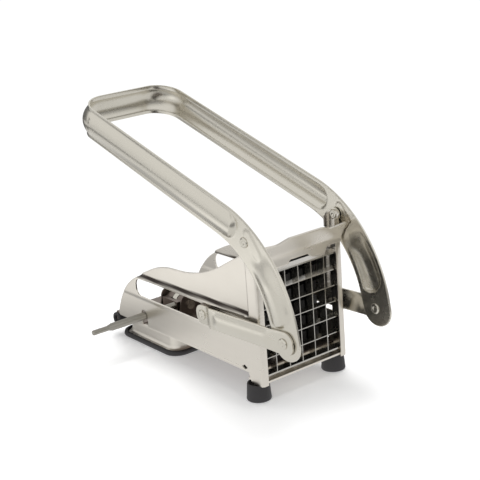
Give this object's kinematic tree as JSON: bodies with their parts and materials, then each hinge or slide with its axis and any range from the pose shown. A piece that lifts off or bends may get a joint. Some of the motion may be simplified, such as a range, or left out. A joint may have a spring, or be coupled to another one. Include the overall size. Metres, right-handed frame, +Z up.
{
  "type": "french fry cutter",
  "caption": "Lever french fry cutter in folded stainless sheet with a square blade grid, a black peg pusher, a looped handle of pressed sheet band and a suction base.",
  "frame": {"origin": "middle of the suction pad's underside, on the table", "axes": "+X to the machine's right, +Y to its rear where the grip is, +Z up; the blades face -Y"},
  "size_m": [0.133, 0.2591, 0.1932],
  "materials": {
    "frame_steel": "satin stainless sheet with a fine grain",
    "handle_steel": "smooth stainless sheet, softly polished",
    "base_steel": "plain stainless sheet",
    "rod_steel": "bright turned rod",
    "blade_steel": "ground blade strip",
    "fastener_steel": "tumbled rivet and screw heads",
    "pusher_plastic": "moulded black, faintly shiny",
    "pad_rubber": "soft black rubber",
    "foot_rubber": "charcoal rubber",
    "bumper_rubber": "black rubber tube"
  },
  "bodies": {
    "frame": {"side_panel_left": "frame_steel", "side_panel_right": "frame_steel", "floor_plate": "frame_steel", "guard_plate": "frame_steel", "front_sill": "frame_steel", "front_foot_left": "foot_rubber", "front_foot_right": "foot_rubber", "foot_screws": "fastener_steel", "rear_bumper": "bumper_rubber", "pivot_rivets": "fastener_steel", "pivot_washers": "fastener_steel", "suction_dome": "base_steel", "suction_pad": "pad_rubber", "cam_bracket": "base_steel", "cam_pin": "fastener_steel"},
    "handle": {"handle": "handle_steel", "lower_rivets": "fastener_steel"},
    "links": {"link_left": "handle_steel", "link_right": "handle_steel", "link_rivets": "fastener_steel"},
    "pusher": {"pusher_block": "pusher_plastic", "pusher_carriage": "base_steel", "carriage_screws": "fastener_steel"},
    "cassette": {"cassette_frame": "blade_steel", "vertical_blades": "blade_steel", "horizontal_blades": "blade_steel"},
    "suction_lever": {"lever_cam": "base_steel", "lever_rod": "rod_steel"},
    "suction_stud": {"suction_stud": "fastener_steel"}
  },
  "joints": [
    {"name": "handle_hinge", "type": "hinge", "parent": "frame", "child": "handle", "pos_m": [0, -0.146, 0.1182], "axis": [1, 0, 0], "range_deg": [-12, 70]},
    {"name": "link_hinge", "type": "hinge", "parent": "handle", "child": "links", "pos_m": [0, -0.18253, 0.05569], "axis": [1, 0, 0], "range_deg": [-75, 13]},
    {"name": "pusher_slide", "type": "slide", "parent": "frame", "child": "pusher", "axis": [0, 1, 0], "range_m": [-0.0142, 0.0823]},
    {"name": "cassette_lift", "type": "slide", "parent": "frame", "child": "cassette", "axis": [0, 0, 1], "range_m": [0, 0.095]},
    {"name": "lever_hinge", "type": "hinge", "parent": "frame", "child": "suction_lever", "pos_m": [0, 0, 0.028], "axis": [0, -1, 0], "range_deg": [0, 14]},
    {"name": "stud_slide", "type": "slide", "parent": "frame", "child": "suction_stud", "axis": [0, 0, 1], "range_m": [0, 0.003]}
  ],
  "couplings": [
    {"joint": "link_hinge", "follows": "handle_hinge", "ratio": -1.0594},
    {"joint": "pusher_slide", "follows": "handle_hinge", "m_per_rad": 0.06728},
    {"joint": "stud_slide", "follows": "lever_hinge", "m_per_rad": 0.01227}
  ]
}
